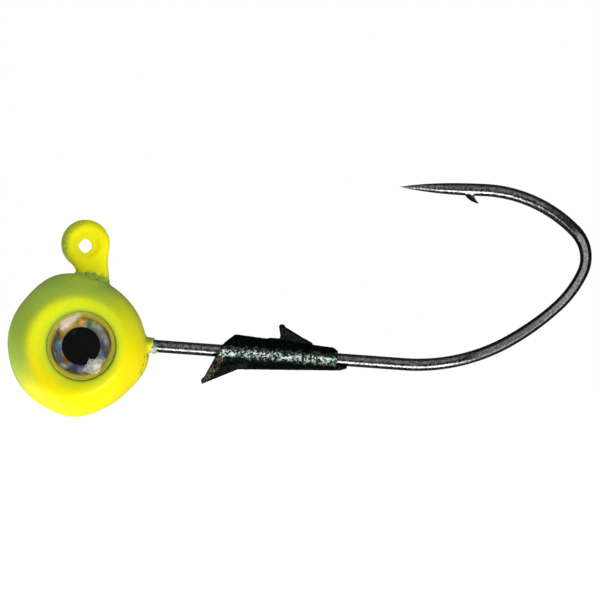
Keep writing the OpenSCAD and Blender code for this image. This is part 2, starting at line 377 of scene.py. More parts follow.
def chartreusePaint():
    look = {
        "lit": (0.90, 0.77, 0.0), "loop": (0.95, 0.88, 0.004), "lime": (0.78, 0.82, 0.01),
        "back": (0.53, 0.72, 0.09), "tie": (0.21, 0.40, 0.06), "dip": (0.60, 0.72, 0.02),
        "deep": (0.10, 0.19, 0.05),
        # scale of each pattern, in patches for each millimetre
        "clouds": 0.8, "grit": 3.2, "specks": 2.6, "peel": 2.2, "dust": 9,
        "wander": 0.25, "gritEdge": (0.44, 0.62), "speckEdge": (0.52, 0.66),
        # directions, and where each tone begins and ends in millimetres
        "ballEdge": (7.5, 7.25),
        "backDirection": (-0.73, 0.0, 0.68), "backFrom": (4.3, 5.7), "backReach": (-1.2, 2.8),
        "limeDirection": (-0.25, 0.0, 0.97), "limeReach": (-3.0, 3.5),
        "creaseFrom": (6.2, 6.9), "creaseTo": (7.9, 7.2), "creaseOver": (5.2, 6.4),
        "creaseWide": (1.6, 0.9), "creaseBehind": (-2.2, -0.4),
        "rearBehind": (6.25, 6.7), "rearUnder": (0.7, -0.5), "rearDirt": 0.8,
        "neckFrom": (4.9, 6.7), "neckOver": (4.4, 6.3), "neckShade": 0.26,
        "tieFrom": (1.35, 2.2), "tieDirection": (-1.0, 0.0, 0.2), "tieReach": (0.1, 1.5),
        "tieOver": (7.2, 7.5), "tieGrit": (0.42, 1.0),
        "socketEdge": (5.0, 3.6), "socketShare": 0.8, "rimEdge": (3.85, 3.5), "rimShare": 0.6,
        "nubBehind": (6.7, 7.1), "nubOver": (0.5, 1.0), "nubShare": 0.9, "haze": 0.05,
        "roughness": (0.23, 0.37),
    }
    material = newMaterial("chartreusePaint")
    place = inMm(material, ballCentre)
    x, y, z = (axis(place, letter) for letter in "XYZ")
    across = fromAxis(place)
    onBall = remap(across, *look["ballEdge"])
    clouds = vary(noise(place, look["clouds"]), -look["wander"], look["wander"])
    # painted shade: the upper half of the ball is tinted lime
    upward = fade(dot(place, look["limeDirection"]), *look["limeReach"])
    # painted shade: beyond the eye's rim the upper front of the ball is tinted a darker green
    outside = fade(plus(across, clouds), *look["backFrom"])
    turned = fade(dot(place, look["backDirection"]), *look["backReach"])
    # painted shade, broken by grit, in the crease under the neck, and dark flecks behind the head
    grit = remap(noise(place, look["grit"], 5, 0.65), *look["gritEdge"])
    creaseShade = times(fade(across, *look["creaseFrom"]), fade(across, *look["creaseTo"]),
                      fade(z, *look["creaseOver"]), remap(unsigned(y), *look["creaseWide"]),
                      remap(x, *look["creaseBehind"]), grit)
    specks = remap(noise(place, look["specks"], 3, 0.5), *look["speckEdge"])
    rearGrime = times(remap(x, *look["rearBehind"]), remap(z, *look["rearUnder"]), specks,
                      look["rearDirt"])
    neckShade = times(fade(across, *look["neckFrom"]), fade(z, *look["neckOver"]), onBall,
                      look["neckShade"])
    # the deep tone covers painted shade in the crease and under the neck, dark flecks behind the
    # head and a faint grit
    shadeAndGrime = most(creaseShade, rearGrime, times(grit, look["haze"]), neckShade)
    # painted shade, broken by grit, on the front edge of the line tie
    fromHole = inMm(material, (0, 0, headShape["loopRise"] * mm))
    tieEdgeShade = times(fade(fromAxis(fromHole), *look["tieFrom"]),
                    remap(dot(fromHole, look["tieDirection"]), *look["tieReach"]),
                    remap(across, *look["tieOver"]), remap(grit, 0.0, 1.0, *look["tieGrit"]))
    # painted shade: the dip round each eye is tinted green
    fromEye = fromAxis(inMm(material, (eyeCentre.x, 0, eyeCentre.z)))
    dip = times(fade(plus(fromEye, clouds), *look["socketEdge"]), look["socketShare"])
    # painted shade: a green ring just round each lens
    rim = times(fade(fromEye, *look["rimEdge"]), look["rimShare"])
    # painted shade: the top of the collar is tinted green
    collarTopShade = times(remap(x, *look["nubBehind"]), remap(z, *look["nubOver"]), look["nubShare"])
    # painted light: off the ball, on the line tie, neck and collar, the yellow is brighter and
    # greener
    colour = mixColour(onBall, look["loop"], look["lit"])
    for share, tone in ((times(upward, onBall), "lime"), (times(outside, turned, onBall), "back"),
                        (tieEdgeShade, "tie"), (dip, "dip"), (rim, "tie"), (collarTopShade, "tie"), (shadeAndGrime, "deep")):
        colour = mixColour(share, colour, look[tone])
    dust = noise(place, look["dust"])
    normal = bump(dust, 0.12, 0.03, bump(noise(place, look["peel"], 2), 0.5, 0.05))
    shader(material, {"Base Color": colour, "Normal": normal, "Coat Weight": 0.06,
                      "Roughness": vary(dust, *look["roughness"]),
                      "Coat Roughness": 0.15, "IOR": 1.42,
                      "Specular Tint": (1.0, 0.95, 0.20, 1)})
    return material


def whiteUndercoat():
    look = {"patches": 3.5, "grain": 7, "roughness": (0.45, 0.7),
            "tones": [(0.35, (0.56, 0.60, 0.53)), (0.52, (0.42, 0.48, 0.39)),
                      (0.66, (0.16, 0.20, 0.12))]}
    material = newMaterial("whiteUndercoat")
    place = inMm(material)
    patches = noise(place, look["patches"], 4)
    shader(material, {"Base Color": ramp(patches, look["tones"]),
                      "Roughness": vary(patches, *look["roughness"]),
                      "Normal": bump(noise(place, look["grain"]), 0.5, 0.08)})
    return material


def castLead():
    look = {"grain": 2.5, "tones": [(0.3, (0.16, 0.17, 0.19)), (0.7, (0.34, 0.35, 0.38))],
            "roughness": (0.4, 0.65)}
    material = newMaterial("castLead")
    grain = noise(inMm(material), look["grain"], 5)
    shader(material, {"Base Color": ramp(grain, look["tones"]), "Metallic": 0.85,
                      "Normal": bump(grain, 0.4, 0.05),
                      "Roughness": vary(grain, *look["roughness"])})
    return material


def blackNickel():
    look = {
        "mottle": 4, "fine": 18,
        "round": [(0.40, (0.05, 0.05, 0.052)), (0.62, (0.21, 0.21, 0.22))],
        "shoulder": [(0.32, (0.012, 0.012, 0.013)), (0.68, (0.05, 0.05, 0.052))],
        "flat": [(0.36, (0.11, 0.115, 0.12)), (0.66, (0.20, 0.205, 0.21))],
        "crownFrom": (44, 49), "crownShine": 2.0, "barb": (0.004, 0.004, 0.004),
        "roughness": (0.13, 0.26), "shoulderRough": 0.14, "flatRough": 0.08, "barbRough": 0.5,
    }
    material = newMaterial("blackNickel")
    place = inMm(material)
    # the stored value is 0 on round wire, 0.5 on a flat's shoulder, 1 on a flat, -1 on the barb
    forged = add(material.node_tree, "Attribute", attribute_name="forged").outputs["Fac"]
    mottle = noise(place, look["mottle"], 4, 0.65)
    # painted highlight: the flats are coloured brighter towards the crown
    crownHighlight = fade(axis(place, "X"), *look["crownFrom"], 1.0, look["crownShine"])
    flatTint = vectorCalc("SCALE", ramp(mottle, look["flat"]), {"Scale": crownHighlight})[0]
    shoulder = remap(forged, 0.0, 0.5)
    flat = fade(forged, 0.5, 1.0)
    # painted shade: the barb is coloured near black, darker than the rest of the wire
    barb = remap(forged, 0.0, -1.0)
    colour = mixColour(shoulder, ramp(mottle, look["round"]), ramp(mottle, look["shoulder"]))
    colour = mixColour(flat, colour, flatTint)
    colour = mixColour(barb, colour, look["barb"])
    rough = vary(mottle, *look["roughness"])
    rough = plus(rough, times(shoulder, look["shoulderRough"]))
    rough = plus(rough, times(flat, look["flatRough"]))
    rough = most(rough, times(barb, look["barbRough"]))
    fine = noise(place, look["fine"], 2, 0.6)
    shader(material, {"Base Color": colour, "Metallic": 1.0, "Roughness": rough,
                      "Normal": bump(fine, 0.15, 0.008, bump(mottle, 0.45, 0.03))})
    return material


def keeperGreen():
    look = {
        "lumps": 3.0, "flecks": 3.8, "shades": 2.2,
        "skin": [(0.58, (0.0006, 0.0012, 0.001)), (0.70, (0.002, 0.010, 0.006))],
        "glints": [(0.38, (0.040, 0.080, 0.058)), (0.50, (0.072, 0.080, 0.076)),
                   (0.66, (0.080, 0.076, 0.068))],
        "warm": (0.080, 0.058, 0.024), "warmShare": 0.8,
        "fleckEdge": (0.47, 0.54), "sideFrom": (0.55, 0.95), "wander": 0.25,
        "bandEdge": (0.68, 0.36), "lowered": 0.05,
        # the slope of the prong's front edge, where it lies, and how far its painted glints reach
        # from it
        "edgeSlope": (1.0, 0.0, -0.68), "edgeAt": 2.3, "edgeReach": (0.6, 0.2),
        "prongUnder": (-0.5, -0.9), "prongShare": 0.6, "roughness": (0.12, 0.26),
    }
    material = newMaterial("keeperGreen")
    place = inMm(material, (0, 0, shankZ - look["lowered"] * mm))
    height = axis(place, "Z")
    lumps = noise(place, look["lumps"], 3, 0.6)
    flecks = noise(place, look["flecks"], 3, 0.65)
    shades = noise(place, look["shades"], 2, 0.5)
    # painted highlight: the skin is made glossy and glint-coloured in a band along the sides, but
    # only between the pits
    aside = fade(unsigned(axis(place, "Y")), *look["sideFrom"])
    wander = vary(shades, -look["wander"], look["wander"])
    band = times(aside, fade(unsigned(plus(height, wander)), *look["bandEdge"]))
    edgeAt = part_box("bait_keeper")[0].x / mm + look["edgeAt"]
    near, far = (edgeAt + reach for reach in look["edgeReach"])
    # painted highlight: warm glints along the prong's front edge
    prongGlintEdge = times(remap(dot(place, look["edgeSlope"]), near, far),
                      remap(height, *look["prongUnder"]))
    glintBand = most(band, times(prongGlintEdge, look["prongShare"]))
    gloss = times(remap(flecks, *look["fleckEdge"], 0.03, 1.0), glintBand)
    glint = mixColour(times(prongGlintEdge, look["warmShare"]), ramp(shades, look["glints"]),
                      look["warm"])
    colour = mixColour(gloss, ramp(flecks, look["skin"]), glint)
    shader(material, {"Base Color": colour, "Metallic": gloss, "Specular IOR Level": 0.015,
                      "Normal": bump(flecks, 0.6, 0.03, bump(lumps, 0.6, 0.06)),
                      "Roughness": vary(lumps, *look["roughness"])})
    return material


def eyeAdhesive():
    look = {"grain": 5, "tones": [(0.3, (0.62, 0.60, 0.50)), (0.7, (0.80, 0.79, 0.72))]}
    material = newMaterial("eyeAdhesive")
    grain = noise(inMm(material), look["grain"])
    shader(material, {"Base Color": ramp(grain, look["tones"]), "Roughness": 0.6,
                      "Normal": bump(grain, 0.3, 0.03)})
    return material


def pupilInk():
    look = {"grain": 9, "tones": [(0.3, (0.0002, 0.0002, 0.0002)), (0.7, (0.0006, 0.0006, 0.0007))],
            "roughness": (0.8, 0.95)}
    material = newMaterial("pupilInk")
    grain = noise(inMm(material), look["grain"])
    shader(material, {"Base Color": ramp(grain, look["tones"]),
                      "Roughness": vary(grain, *look["roughness"]),
                      "Specular IOR Level": 0.0})
    return material


foilLook = {
    "rim": 2.62, "rimBlend": 0.10, "rimEnd": 3.4, "split": (2.12, 2.34), "splitWander": 0.26,
    "splitPatches": 1.4, "cellEdge": ((0, 0.5), (0.10, 0.50)),
    "patches": 0.9, "patchWander": 0.07, "cells": 1.3, "cellHue": (0.45, 0.55),
    "cellValue": (2.0, 0.55), "facets": 3.1, "metal": 0.5, "roughness": (0.28, 0.42),
    "glare": (-1.36, 0.0, 2.28), "glareTurn": 0.55, "glareShape": (0.62, 0.0, 2.0),
    "glareEdge": (1.0, 0.48), "glareColour": (1.0, 0.92, 0.88), "glareShare": 0.84,
    "glarePatches": 1.8, "glareWander": 0.2,
    # the brown arcs lie across from each other on the rim
    "arc": (0.035, 0.016, 0.005), "arcDirection": (0.93, 0.0, 0.36), "arcFrom": (0.85, 0.99),
    "arcRadius": 2.78, "arcWide": (0.15, 0.03),
    # painted shade: the rim past the foil's print is olive, darkest inward
    "olive": [(0.0, (0.16, 0.10, 0.01)), (0.30, (0.50, 0.41, 0.05)), (1.0, (0.68, 0.66, 0.03))],
    # each from the left, down round the bottom, up the right and over the top
    "outer": [
        (0.00, (0.16, 0.15, 0.06)), (0.06, (0.20, 0.30, 0.32)), (0.13, (0.36, 0.46, 0.48)),
        (0.20, (0.10, 0.12, 0.15)), (0.27, (0.32, 0.34, 0.32)), (0.36, (0.56, 0.50, 0.40)),
        (0.45, (0.10, 0.20, 0.26)), (0.52, (0.44, 0.36, 0.40)), (0.60, (0.34, 0.27, 0.30)),
        (0.68, (0.40, 0.44, 0.26)), (0.75, (0.34, 0.18, 0.06)), (0.82, (0.62, 0.40, 0.22)),
        # the near-white stop at the upper left is a painted highlight
        (0.88, (1.00, 0.88, 0.80)), (0.94, (0.30, 0.16, 0.24)), (1.00, (0.16, 0.13, 0.05))],
    "inner": [
        (0.00, (0.12, 0.24, 0.34)), (0.07, (0.46, 0.60, 0.68)), (0.13, (0.60, 0.20, 0.10)),
        (0.19, (0.20, 0.26, 0.34)), (0.28, (0.40, 0.42, 0.46)), (0.40, (0.70, 0.66, 0.62)),
        (0.50, (0.16, 0.28, 0.34)), (0.58, (0.50, 0.44, 0.50)), (0.66, (0.18, 0.34, 0.36)),
        (0.73, (0.60, 0.42, 0.22)), (0.80, (0.86, 0.52, 0.38)), (0.88, (0.92, 0.56, 0.42)),
        (0.95, (0.70, 0.34, 0.16)), (1.00, (0.12, 0.22, 0.30))],
}


def irisFoil(side):
    look = foilLook
    material = newMaterial("irisFoil" + side.capitalize())
    centre = Vector((eyeCentre.x, 0, eyeCentre.z))
    place = inMm(material, centre)
    radius = fromAxis(place)
    angle = calc("ARCTAN2", axis(place, "Z"), axis(place, "X"))
    wobble = noise(place, look["patches"])
    patch = plus(remap(angle, -pi, pi), vary(wobble, -look["patchWander"], look["patchWander"]))
    patch = calc("FRACT", plus(patch, 1.0))
    ragged = vary(noise(place, look["splitPatches"], 2), -look["splitWander"], look["splitWander"])
    colours = mixColour(fade(plus(radius, ragged), *look["split"]), ramp(patch, look["inner"]),
                        ramp(patch, look["outer"]))
    cells = after(place, "TexVoronoi", {"Vector": place, "Scale": look["cells"]},
                  feature="SMOOTH_F1").outputs["Distance"]
    sparkle = after(place, "HueSaturation", {
        "Hue": remap(cells, *look["cellEdge"][0], *look["cellHue"]), "Color": colours,
        "Value": remap(cells, *look["cellEdge"][1], *look["cellValue"]),
        "Saturation": 1.5}).outputs["Color"]
    along = inMm(material, centre + Vector(look["glare"]) * mm, (0, look["glareTurn"], 0))
    along = vectorCalc("MULTIPLY", along, {1: look["glareShape"]})[0]
    ragged = vary(noise(place, look["glarePatches"], 2), -look["glareWander"], look["glareWander"])
    glare = fade(plus(vectorCalc("LENGTH", along)["Value"], ragged), *look["glareEdge"])
    edge = fade(radius, look["rim"] - look["rimBlend"], look["rim"] + look["rimBlend"])
    # painted shade: olive rim standing for yellow paint seen through the shaded resin edge
    olive = ramp(remap(radius, look["rim"], look["rimEnd"]), look["olive"])
    slant = calc("DIVIDE", dot(place, look["arcDirection"]), radius)
    arc = times(fade(unsigned(slant), *look["arcFrom"]),
                fade(unsigned(plus(radius, -look["arcRadius"])), *look["arcWide"]))
    colour = mixColour(edge, sparkle, mixColour(arc, olive, look["arc"]))
    colour = mixColour(times(glare, look["glareShare"]), colour, look["glareColour"])
    metal = times(remap(edge, 0, 1, look["metal"], 0), remap(glare, 0, 1, 1, 0))
    facets = after(place, "TexVoronoi", {"Vector": place, "Scale": look["facets"]})
    shader(material, {"Base Color": colour, "Metallic": metal,
                      "Normal": bump(facets.outputs["Distance"], 0.25, 0.05),
                      "Roughness": vary(wobble, *look["roughness"])})
    return material


def lensResin():
    look = {"haze": 1.4, "tones": [(0.3, (1.0, 1.0, 0.99)), (0.7, (0.96, 0.98, 0.95))],
            "roughness": (0.03, 0.05), "shadow": (0.95, 0.96, 0.93, 1)}
    material = newMaterial("lensResin")
    haze = noise(inMm(material), look["haze"], 2)
    resin = shader(material, {
        "Base Color": ramp(haze, look["tones"]), "Roughness": vary(haze, *look["roughness"]),
        "IOR": 1.5, "Transmission Weight": 1.0, "Specular IOR Level": 0.3,
        "Normal": bump(haze, 0.03, 0.03)})
    # shadow rays pass straight through, so the foil under the lens is lit
    tree = material.node_tree
    clear = add(tree, "BsdfTransparent", {"Color": look["shadow"]})
    both = add(tree, "MixShader", {0: add(tree, "LightPath").outputs["Is Shadow Ray"],
                                   1: resin.outputs[0], 2: clear.outputs[0]})
    feed(tree.nodes["Material Output"], {"Surface": both.outputs[0]})
    return material


stageLook = {
    "viewCentre": (21.80, -3.81), "frameWidth": 60.0, "roll": 4.2, "lens": 500, "sensor": 36,
    "clip": (0.01, 20), "floorDrop": 20.0, "floorSize": 6.0, "floorGlow": 1.0,
    "floorClouds": 0.01, "floorTones": [(0.3, (0.80,) * 3), (0.7, (0.82,) * 3)],
}


def makeStage():
    look = stageLook
    scene = bpy.context.scene
    scene.view_settings.view_transform = "Standard"
    x, z = look["viewCentre"]
    distance = look["frameWidth"] * look["lens"] / look["sensor"]
    camera = bpy.data.cameras.new("camera")
    camera.lens, camera.sensor_width = look["lens"], look["sensor"]
    camera.clip_start, camera.clip_end = look["clip"]
    eye = bpy.data.objects.new("camera", camera)
    eye.location = (x * mm, -distance * mm, z * mm)
    eye.rotation_euler = (pi / 2, -radians(look["roll"]), 0)
    scene.collection.objects.link(eye)
    scene.camera = eye
    floor = start(bpy.ops.mesh.primitive_plane_add, size=look["floorSize"],
                  location=(0, 0, cadLow.z - look["floorDrop"] * mm))
    floor.name = "floor"
    material = newMaterial("paleFloor")
    cloud = noise(inMm(material), look["floorClouds"], 2)
    shader(material, {"Base Color": ramp(cloud, look["floorTones"]),
                      "Roughness": 0.9, "Specular IOR Level": 0.0,
                      "Emission Color": (1, 1, 1, 1), "Emission Strength": look["floorGlow"]})
    floor.data.materials.append(material)
    floor.visible_glossy = floor.visible_diffuse = floor.visible_shadow = False
    floor.visible_transmission = False
    print("stage set")


lamps = {
    # direction from the object, distance, size, watts, colour, seen in gloss, lights only
    "key": ((0.41, -0.56, -0.72), 0.30, 0.19, 0.76, (1.0, 0.98, 0.94), True, None),
    "backKey": ((-0.43, 0.60, -0.67), 0.30, 0.19, 1.25, (1.0, 0.98, 0.94), False, None),
    "top": ((-0.45, 0.0, 0.9), 0.60, 0.60, 0.62, (0.92, 1.0, 0.84), False, None),
    "front": ((0.25, -0.93, 0.26), 0.60, 0.50, 1.05, (1.0, 1.0, 0.95), False, None),
    "wirePanel": ((-0.10, -0.80, 0.60), 0.60, 0.70, 1.2, (1.0, 1.0, 1.0), True, "wires"),
    "wireStreak": ((0.04, -0.66, -0.75), 0.30, 0.13, 0.52, (1.0, 1.0, 1.0), True, "wires"),
    "throatStreak": ((-0.30, -0.86, -0.38), 0.30, 0.06, 0.25, (1.0, 1.0, 1.0), True, "wires"),
    "keeperStreak": ((0.0, -0.98, -0.20), 0.30, 0.22, 1.8, (1.0, 1.0, 1.0), True, "keeper"),
    "backPanel": ((-0.30, 0.90, -0.30), 0.40, 0.20, 0.9, (1.0, 1.0, 1.0), True, "farEye"),
}

studioLook = {  # what lies all round, as each kind of ray meets it
    "rise": (-0.6, 0.6), "soft": [(0.0, (0.56, 0.56, 0.52)), (1.0, (0.21, 0.25, 0.22))],
    "rays": {"Is Glossy Ray": (0.12, 0.12, 0.125), "Is Transmission Ray": (0.015, 0.015, 0.015),
             "Is Camera Ray": (1.0, 1.0, 1.0)},
}


def makeLamps():
    target = (cadLow + cadHigh) / 2
    for title in ("wires", "keeper", "farEye"):  # some lamps light only these pieces
        bpy.data.collections.new(title)
    for name, (direction, distance, size, watts, colour, gloss, group) in lamps.items():
        light = bpy.data.lights.new(name, "AREA")
        light.shape, light.size, light.energy, light.color = "SQUARE", size, watts, colour
        lamp = bpy.data.objects.new(name, light)
        away = Vector(direction).normalized()
        lamp.location = target + away * distance
        lamp.rotation_mode = "QUATERNION"
        lamp.rotation_quaternion = away.to_track_quat("Z", "Y")
        lamp.visible_glossy = lamp.visible_transmission = gloss
        if group:
            lamp.light_linking.receiver_collection = bpy.data.collections[group]
        bpy.context.scene.collection.objects.link(lamp)
    world = bpy.data.worlds.new("studio")
    bpy.context.scene.world = world
    world.use_nodes = True
    height = axis(add(world.node_tree, "TexCoord").outputs["Generated"], "Z")
    seen = ramp(remap(height, *studioLook["rise"]), studioLook["soft"])
    path = add(world.node_tree, "LightPath")
    for ray, tone in studioLook["rays"].items():
        seen = mixColour(path.outputs[ray], seen, tone)
    feed(world.node_tree.nodes["Background"], {"Color": seen})
    print("lamps set")


hookShape = {
    "wire": 1.25, "segments": 48, "loopRadius": 1.64, "loopRise": 0.2, "loopTurn": 295.2,
    "legBend": 2.5, "shank": 28.5,
    # radius, degrees, and the wire's width at the end of each turn of the bend
    "bend": [(18.6, 33.7, 1.19), (26.0, 13.4, 1.12), (10.8, 21.3, 1.13), (3.7, 70.0, 1.27),
             (13.5, 43.6, 1.25)],
    "stepAngle": 2.0, "forged": (13.0, 160.0), "flatShare": 0.92, "blendRings": (5, 15),
    "pointRun": 0.4, "tip": 0.03, "fullness": 2.5,
    # how far each ring of the point lies from the tip
    "point": [8.0, 7.72, 7.45, 7.25, 7.05, 6.85, 6.6, 6.3, 5.8, 5.2, 4.6, 4.0, 3.4, 2.8, 2.3, 1.8,
              1.4, 1.0, 0.7, 0.45, 0.25, 0.1, 0.0],
    # where the barb's root lies from the tip, then how far each step leans back and reaches in
    "barbRoot": (6.6, 7.40), "barbSpread": 56,
    "barb": [(0.05, 0.15, 0.90), (0.16, 0.22, 0.84), (0.28, 0.24, 0.74), (0.34, 0.20, 0.36)],
    "barbNear": 9.0,  # all of the barb is closer to the tip than this
    # the barb is coloured near black as painted shade from and above these, apart from its rear
    # edge
    "darkFrom": 6.4, "darkAbove": 0.5, "rearFoot": (7.05, 0.6), "rearLean": 1.02,
    "rearEdge": 0.22,
}


def makeHook(material):
    shape = hookShape
    radius = shape["wire"] / 2 * mm
    begin = radians(shape["loopTurn"])
    hole = Vector((0, 0, shape["loopRise"] * mm))
    heading = shape["loopTurn"] - 90
    walk = {"place": hole + shape["loopRadius"] * mm * Vector((cos(begin), 0, sin(begin))),
            "heading": heading, "width": shape["wire"], "headings": [heading],
            "widths": [shape["wire"]]}
    ring = disc(shape["segments"], radius, walk["place"], (0, pi / 2 - radians(heading), 0))

    def along():
        return Vector((cos(radians(walk["heading"])), 0, sin(radians(walk["heading"]))))

    def inward():
        return Vector((-along().z, 0, along().x))

    def noteRing():
        walk["headings"].append(walk["heading"])
        walk["widths"].append(walk["width"])

    def resize(width, about):
        scaleAbout(about, (width / walk["width"],) * 3)
        walk["width"] = walk["widths"][-1] = width

    def go(length, steps=1):
        for _ in range(steps):
            move = along() * length * mm / steps
            push(move)
            walk["place"] = walk["place"] + move
            noteRing()

    def turn(bendRadius, turned, width=None):
        first = walk["width"]
        steps = max(4, round(abs(turned) / shape["stepAngle"]))
        side = 1 if turned > 0 else -1
        centre = walk["place"] + inward() * side * bendRadius * mm
        for step in range(steps):
            bpy.ops.mesh.spin(steps=1, angle=radians(turned / steps), center=centre,
                              axis=(0, 1, 0))
            walk["heading"] += turned / steps
            walk["place"] = centre - inward() * side * bendRadius * mm
            noteRing()
            if width is not None:  # the outer edge of the bend stays where it is
                share = smoothShare((step + 1) / steps)
                resize(first + (width - first) * share, walk["place"] - inward() * radius)

    turn(shape["loopRadius"], -shape["loopTurn"])
    go((hole.z - shankZ) / mm - shape["legBend"], 4)
    turn(shape["legBend"], 90)
    go(shape["shank"], 24)
    shankEnd = len(walk["headings"])
    for bendRadius, turned, width in shape["bend"]:
        turn(bendRadius, turned, width)
    go(shape["pointRun"])
    for last, gap in zip(shape["point"], shape["point"][1:]):
        go(last - gap)
        share = 1 - (1 - gap / shape["point"][0]) ** shape["fullness"]
        resize(max(2 * shape["tip"], shape["bend"][-1][2] * share), walk["place"])
    bpy.ops.mesh.merge(type="CENTER")

    # the sides are forged flat from the heel to the throat
    segments = shape["segments"]
    turnedSoFar = [angle - walk["headings"][shankEnd - 1] for angle in walk["headings"]]
    flatRings = [number for number in range(shankEnd, len(turnedSoFar))
                 if shape["forged"][0] < turnedSoFar[number] < shape["forged"][1]]
    forgedShare = {}
    for order, number in enumerate(flatRings):
        fromHeel, fromThroat = shape["blendRings"]
        inside = min(1, order / fromHeel, (len(flatRings) - 1 - order) / fromThroat)
        half = walk["widths"][number] / 2 * mm
        flat = half * (1 - (1 - shape["flatShare"]) * inside)
        for side in sides.values():
            def beyond(vertex):
                return vertex.index // segments == number and vertex.co.y * side > flat
            choose(ring, beyond)
            for vertex in bmesh.from_edit_mesh(ring.data).verts:
                if vertex.index // segments == number:
                    forgedShare[vertex.index] = max(inside if vertex.select else inside / 2,
                                                    forgedShare.get(vertex.index, 0))
            scaleAbout((0, side * flat, 0), (1, 0, 1))

    # the barb is pulled out of the inside of the point
    rootNear, rootFar = shape["barbRoot"]
    tip = walk["place"]
    back, reach = -along(), inward()

    def onRoot(face):
        place = face.calc_center_median() - tip
        spread = face.normal.angle(reach) if face.normal.length else pi
        return rootNear * mm < place.dot(back) < rootFar * mm and \
            place.length < shape["barbNear"] * mm and spread < radians(shape["barbSpread"])

    selectAll()
    bpy.ops.mesh.normals_make_consistent(inside=False)
    bpy.ops.mesh.select_mode(type="FACE")
    choose(ring, onRoot, "faces")
    root = bmesh.from_edit_mesh(ring.data)
    spots = [face.calc_center_median() for face in root.faces if face.select]
    middleOfBarb = sum(spots, Vector()) / len(spots)
    for lean, deeper, share in shape["barb"]:
        move = back * lean * mm + reach * deeper * mm
        push(move)
        middleOfBarb = middleOfBarb + move
        scaleAbout(middleOfBarb, (share,) * 3)
    leave()
    footBack, footReach = (value * mm for value in shape["rearFoot"])
    for vertex in ring.data.vertices:
        fromTip = vertex.co - tip
        behindTip, above = fromTip.dot(back), fromTip.dot(reach)
        if shape["darkFrom"] * mm < behindTip and above > shape["darkAbove"] * mm and \
                fromTip.length < shape["barbNear"] * mm:
            behind = behindTip - footBack - shape["rearLean"] * (above - footReach)
            forgedShare[vertex.index] = 0.0 if behind > shape["rearEdge"] * mm else -1.0
    forged = ring.data.attributes.new("forged", "FLOAT", "POINT")
    forged.data.foreach_set("value", [forgedShare.get(number, 0.0)
                                      for number in range(len(ring.data.vertices))])
    finishPiece(ring, "forgedHook", material, "hook_wire", "hook", angle=20)
    bpy.data.collections["wires"].objects.link(ring)
    print("point at", [round(value / mm, 3) for value in tip], "forged", len(forgedShare))


headShape = {
    "rimRadius": 4.46, "rimRound": 0.98, "rimHeight": 4.95, "dishWidth": 1.5, "dishDepth": 0.25,
    "segments": 144, "socket": 3.45, "socketFloor": 4.449, "lipFlare": 0.07,
    # direction round the ball from +X in degrees, height and spread of each swell
    "swells": [(-9, 0.43, 15), (-89, 0.24, 14), (108, 0.40, 18), (-51, -0.06, 12),
               (194, -0.06, 13), (48, -0.06, 12)], "lean": 0.04,
    "loopRadius": 1.64, "loopTube": 0.805, "loopRise": 0.2, "web": 1.38, "webRadius": 1.98,
    "loopFaces": (96, 32), "holeWide": 0.88, "holeTall": 0.90, "holeRound": 0.42,
    "cheek": (-0.42, -1.80, 0.68),  # x, z and radius
    "legRadius": 0.73, "legFlare": 1.18, "legWaist": -1.5, "legFoot": 0.8,
    "neckFront": -0.02, "neckThick": 0.76, "collarRadius": 0.80, "collarFlare": 1.10,
    "collarLength": 3.0, "collarMiddle": -1.4, "collarEnd": 7.18, "collarTop": 7.60,
    "voxel": 0.096, "rounds": 5, "partingHeight": 0.035, "partingWidth": 0.16,
    "partingUnder": -3.1, "partingFrom": 0.97,
}


def ballProfile():
    shape = headShape
    rim, height, rimRound = shape["rimRadius"], shape["rimHeight"], shape["rimRound"]
    half = []
    dishSteps, roundSteps, ballSteps = 8, 8, 22
    for step in range(dishSteps):
        share = step / dishSteps
        drop = 1 - smoothShare(share)
        half.append((rim - shape["dishWidth"] * (1 - share), height - shape["dishDepth"] * drop))
    centreY = height - rimRound
    exitAngle = atan2(centreY, rim)
    for step in range(roundSteps):
        angle = pi / 2 + (exitAngle - pi / 2) * step / roundSteps
        half.append((rim + rimRound * cos(angle), centreY + rimRound * sin(angle)))
    for step in range(ballSteps + 1):
        angle = exitAngle * (1 - step / ballSteps)
        lean = shape["lean"] * (1 - angle / exitAngle)  # a little slack at the waist
        size = ballRadius / mm - lean
        half.append((size * cos(angle), size * sin(angle)))
    return [(r * mm, -y * mm) for r, y in half] + [(r * mm, y * mm) for r, y in half[-2::-1]]


def weigh(piece, name, share):  # a vertex group whose weights follow a rule
    group = piece.vertex_groups.new(name=name)
    for vertex in piece.data.vertices:
        weight = share(vertex.co)
        if weight > 0.001:
            group.add([vertex.index], min(1, weight), "REPLACE")


def swell(piece, name, height, share):
    weigh(piece, name, share)
    modify(piece, "DISPLACE", strength=height * mm, mid_level=0, vertex_group=name)
    piece.vertex_groups.clear()


